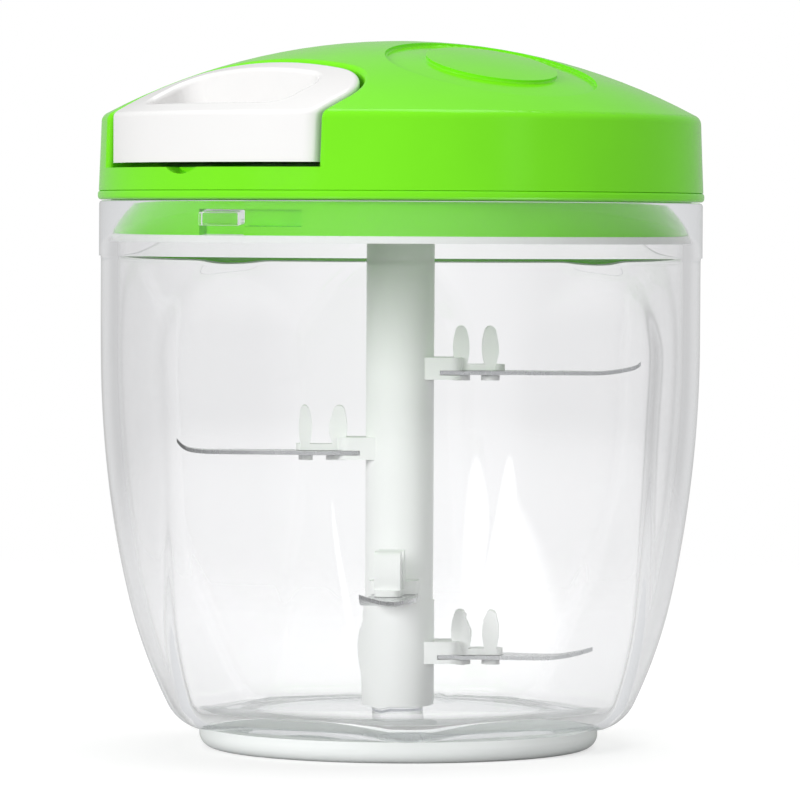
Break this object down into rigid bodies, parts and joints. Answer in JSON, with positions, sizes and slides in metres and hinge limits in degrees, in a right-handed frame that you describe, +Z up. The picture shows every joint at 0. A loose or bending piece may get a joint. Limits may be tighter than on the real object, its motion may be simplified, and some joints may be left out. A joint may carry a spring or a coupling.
{
  "type": "pull-cord food chopper",
  "caption": "Hand food chopper: clear fluted bowl with a bladed shaft, under a domed bayonet lid with a cord reel and a pull handle that spins the blades.",
  "frame": {"origin": "spin axis of the blades, at the level of the table under the foot ring", "axes": "+Z up along the spin axis; the handle pulls out of the lid along -Y"},
  "size_m": [0.1272, 0.1272, 0.1482],
  "materials": {
    "bowl_clear": "clear polished plastic",
    "foot_grip": "translucent soft grip",
    "seal_silicone": "translucent silicone",
    "lid_green": "glossy moulded plastic",
    "handle_white": "satin moulded plastic",
    "shaft_white": "satin moulded plastic",
    "mechanism_white": "plain moulded plastic",
    "blade_steel": "ground steel",
    "spring_steel": "blued strip steel",
    "screw_steel": "plated steel",
    "eyelet_brass": "plain brass",
    "cord_white": "braided cord"
  },
  "bodies": {
    "bowl": {"bowl": "bowl_clear", "foot_ring": "foot_grip"},
    "seal": {"seal_ring": "seal_silicone"},
    "lid": {"lid_base": "lid_green", "lid_cover": "lid_green", "lid_screws": "screw_steel", "bearing_bush": "mechanism_white", "cord_eyelet": "eyelet_brass", "cord_lead": "cord_white", "reel_washer": "screw_steel", "reel_screw": "screw_steel"},
    "handle": {"pull_handle": "handle_white", "cord_knot": "cord_white", "pull_cord": "cord_white"},
    "reel": {"cord_reel": "mechanism_white", "cord_winding": "cord_white", "mainspring": "spring_steel", "spring_cover": "mechanism_white"},
    "blade_unit": {"blade_shaft": "shaft_white", "lower_sleeve": "shaft_white", "blade_1": "blade_steel", "blade_2": "blade_steel", "blade_3": "blade_steel", "blade_4": "blade_steel"}
  },
  "joints": [
    {"name": "lid_lift", "type": "slide", "parent": "bowl", "child": "seal", "axis": [0, 0, 1], "range_m": [0, 0.09]},
    {"name": "lid_twist", "type": "hinge", "parent": "seal", "child": "lid", "pos_m": [0, 0, 0.11], "axis": [0, 0, 1], "range_deg": [-12, 0]},
    {"name": "handle_pull", "type": "slide", "parent": "lid", "child": "handle", "axis": [0, -1, 0], "range_m": [0, 0.36], "stiffness_N_per_m": 12, "springref_m": -0.25, "deforming": ["pull_cord"]},
    {"name": "reel_spin", "type": "hinge", "parent": "lid", "child": "reel", "pos_m": [0, 0, 0.1275], "axis": [0, 0, 1], "range_deg": [0, 1127], "deforming": ["mainspring", "cord_winding"]},
    {"name": "blade_spin", "type": "hinge", "parent": "bowl", "child": "blade_unit", "pos_m": [0, 0, 0.06], "axis": [0, 0, 1], "range_deg": [0, 1127]}
  ],
  "couplings": [
    {"joint": "reel_spin", "follows": "handle_pull", "rad_per_m": 54.348},
    {"joint": "blade_spin", "follows": "handle_pull", "rad_per_m": 54.348}
  ]
}
